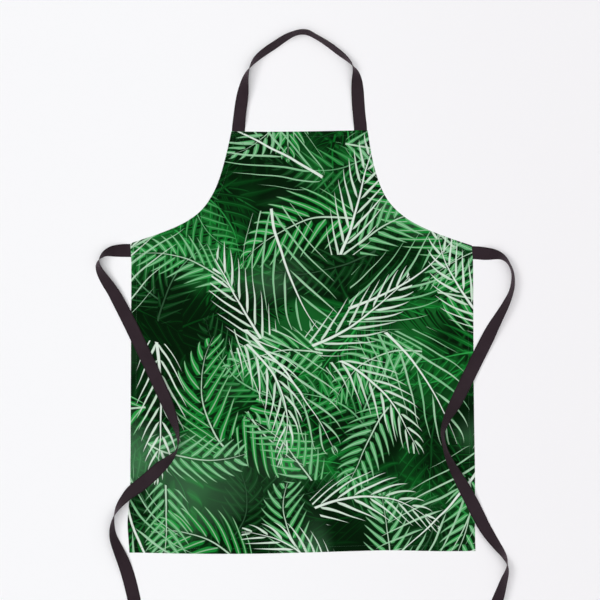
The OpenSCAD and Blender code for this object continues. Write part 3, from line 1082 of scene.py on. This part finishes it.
def printed_cloth():
    material, place = start_material("printed_cloth")
    # A slow wobble of some millimetres keeps the stems from looking ruled.
    wobble = noise(place, scale=5.0, detail=2.0, output=1)
    shifted = scaled_and_moved(wobble, (0.03, 0.03, 0.0), place)
    ground = noise(place, scale=6.0, detail=3.0)
    colour = mixed(smooth(ground, 0.45, 0.65), DEEP, BOTTLE)
    for k, look in enumerate(back_layers):
        colour = leaf_layer(colour, shifted, k, look)
    gloom, mist, _ = parts(noise(place, scale=3.2, detail=2.0, output=1))
    colour = mixed(smooth(gloom, 0.60, 0.44) * 0.85, colour, DEEP)
    colour = mixed(smooth(mist, 0.56, 0.74) * 0.3, colour, MINT)
    for k, look in enumerate(front_layers):
        colour = leaf_layer(colour, shifted, k + len(back_layers), look)
    _, relief = plain_weave(place)
    return finish_material(material, place, {
        "Base Color": colour, "Normal": relief, "Roughness": 0.8, "Specular IOR Level": 0.02,
    })


def cloth_back():
    material, place = start_material("cloth_back")
    weave, relief = plain_weave(place)
    colour = mixed(weave * 0.5 + 0.5, (0.60, 0.64, 0.60), (0.72, 0.75, 0.72))
    sockets = {"Base Color": colour, "Normal": relief, "Roughness": 0.85}
    return finish_material(material, place, sockets)


cloth.data.materials.append(printed_cloth())
cloth.data.materials.append(cloth_back())
cloth.data.polygons.foreach_set("material_index", bare_back)

# %% [markdown]
# ## Tape and thread
# Twill tape shows slanting ribs and a plain, darker selvedge along each edge. The ribs have to
# follow the tape round its bends, so they read the place across and along it that the mesh
# remembers. A faint plum sheen stands for the fuzz on its yarns: it lights the tape where it
# is seen at a low angle. Sewing thread has only its twist.

# %% The woven tape and the thread
RIB, YARN, TWIST = 1.3 * MM, 0.8 * MM, 0.5 * MM
SELVEDGE_FROM, SELVEDGE_FULL = 0.0100, 0.0112  # from the tape's middle


def woven_tape():
    material, place = start_material("woven_tape")
    run = place.make("ShaderNodeAttribute", {}, 1, attribute_name="tape_run")
    across, along, _ = parts(run)
    edge = smooth(abs(across), SELVEDGE_FROM, SELVEDGE_FULL)
    ribs = waves(along + across * 0.8, RIB)
    height = ribs * (1 - edge) + waves(along, YARN) * edge
    fading = noise(run, scale=28.0, detail=2.0)
    tone = clamped(ribs * 0.18 * (1 - edge) + fading * 0.7 + 0.12)
    colour = mixed(tone, (0.018, 0.010, 0.014), (0.038, 0.024, 0.031))
    colour = mixed(edge * 0.45, colour, (0.010, 0.006, 0.008))
    return finish_material(material, place, {
        "Base Color": colour, "Normal": bump(height, 0.5, 0.2 * MM),
        "Roughness": 0.75, "Specular IOR Level": 0.12,
        "Sheen Weight": 0.14, "Sheen Roughness": 0.35, "Sheen Tint": (0.92, 0.62, 0.78),
    })


def sewing_thread():
    material, place = start_material("sewing_thread")
    x, y, _ = parts(place)
    colour = mixed(waves(x + y, TWIST) * 0.5 + 0.5, (0.010, 0.055, 0.018), (0.020, 0.095, 0.032))
    return finish_material(material, place, {"Base Color": colour, "Roughness": 0.5})


tape_finish = woven_tape()
for tape in (left_tie, right_tie, neck_tape):
    tape.data.materials.append(tape_finish)

# %% [markdown]
# The stitches come last, because their tree gives them their material. They ride with the
# cloth on the apron's body. The cloth was cut to the finished panel with a hem's width, twice
# over, added on every edge.

# %% Sewing
sewing = stitch_tree(sewing_thread())
hem_stitches = sew("hem_stitches", hem_sewing, sewing)
tack_stitches = sew("boxed_crosses", crosses, sewing)
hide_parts("hem_stitching")
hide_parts("neck_tack_left", "neck_tack_right", "tie_tack_left", "tie_tack_right")
for sewn in (hem_stitches, tack_stitches):
    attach(sewn, "apron")

# %% [markdown]
# ## Table and light
# The table is a wide, nearly white floor. A wide lamp overhead gives most of the light, a
# window on the left draws the soft shadows, and a weaker one on the right opens them. Their
# shares add up to about one, so a level surface shows each colour about as written.

# %% Table
TABLE_REACH = 30
# Painted shade: the table's colour is a touch darker on the right, as though less light reached it
# there. It is bright up to one x and dim from another.
LIT_TABLE, SHADED_TABLE = (0.950, 0.950, 0.968), (0.912, 0.900, 0.922)
LIT_TO_X, SHADED_FROM_X = -0.35, 0.6


def table_top():
    material, place = start_material("table_top")
    x, _, _ = parts(place)
    # painted shade: the table's colour dims from left to right
    colour = mixed(smooth(x, LIT_TO_X, SHADED_FROM_X), LIT_TABLE, SHADED_TABLE)
    return finish_material(material, place, {"Base Color": colour, "Roughness": 0.9})


floor_mesh = bpy.data.meshes.new("table")
r = TABLE_REACH
floor_mesh.from_pydata([(-r, -r, 0), (r, -r, 0), (r, r, 0), (-r, r, 0)], [], [(0, 1, 2, 3)])
floor_mesh.materials.append(table_top())
put_in_scene("table", floor_mesh)

# %% Windows and sky
BACKDROP = 0.95  # the sky's strength where it is seen, and in reflections


def window(name, share, height, bearing, spread):
    """A sun that gives its share of the light on a level surface. Angles are in degrees."""
    sun = bpy.data.lights.new(name, "SUN")
    sun.energy = share * math.pi / math.sin(math.radians(height))
    sun.angle = math.radians(spread)
    lamp = put_in_scene(name, sun)
    lamp.rotation_euler = (0, math.radians(90 - height), math.radians(bearing))
    print(name, "strength:", round(sun.energy, 2))


def sky(share, narrowing):
    """A white sky, brighter overhead the more it is narrowed, like a wide lamp above."""
    world = bpy.data.worlds.new("sky")
    bpy.context.scene.world = world
    direction = coordinates(world, "Generated")
    seen = direction.make("ShaderNodeLightPath", {}, "Is Camera Ray")
    shown = clamped(seen + seen.other("Is Glossy Ray") + seen.other("Is Transmission Ray"))
    # Over the whole sky, this sum gives a level surface just its share.
    rise = clamped(parts(direction)[2])
    overhead = rise ** narrowing * (share * (narrowing + 2) / 2)
    strength = shown * BACKDROP + (1 - shown) * overhead
    sockets = {"Color": (1.0, 1.0, 1.0), "Strength": strength}
    light = seen.make("ShaderNodeBackground", sockets)
    seen.make("ShaderNodeOutputWorld", {"Surface": light})


window("left window", share=0.18, height=54, bearing=165, spread=20)
window("right window", share=0.05, height=50, bearing=10, spread=50)
sky(share=0.76, narrowing=6)
bpy.context.scene.view_settings.view_transform = "Standard"
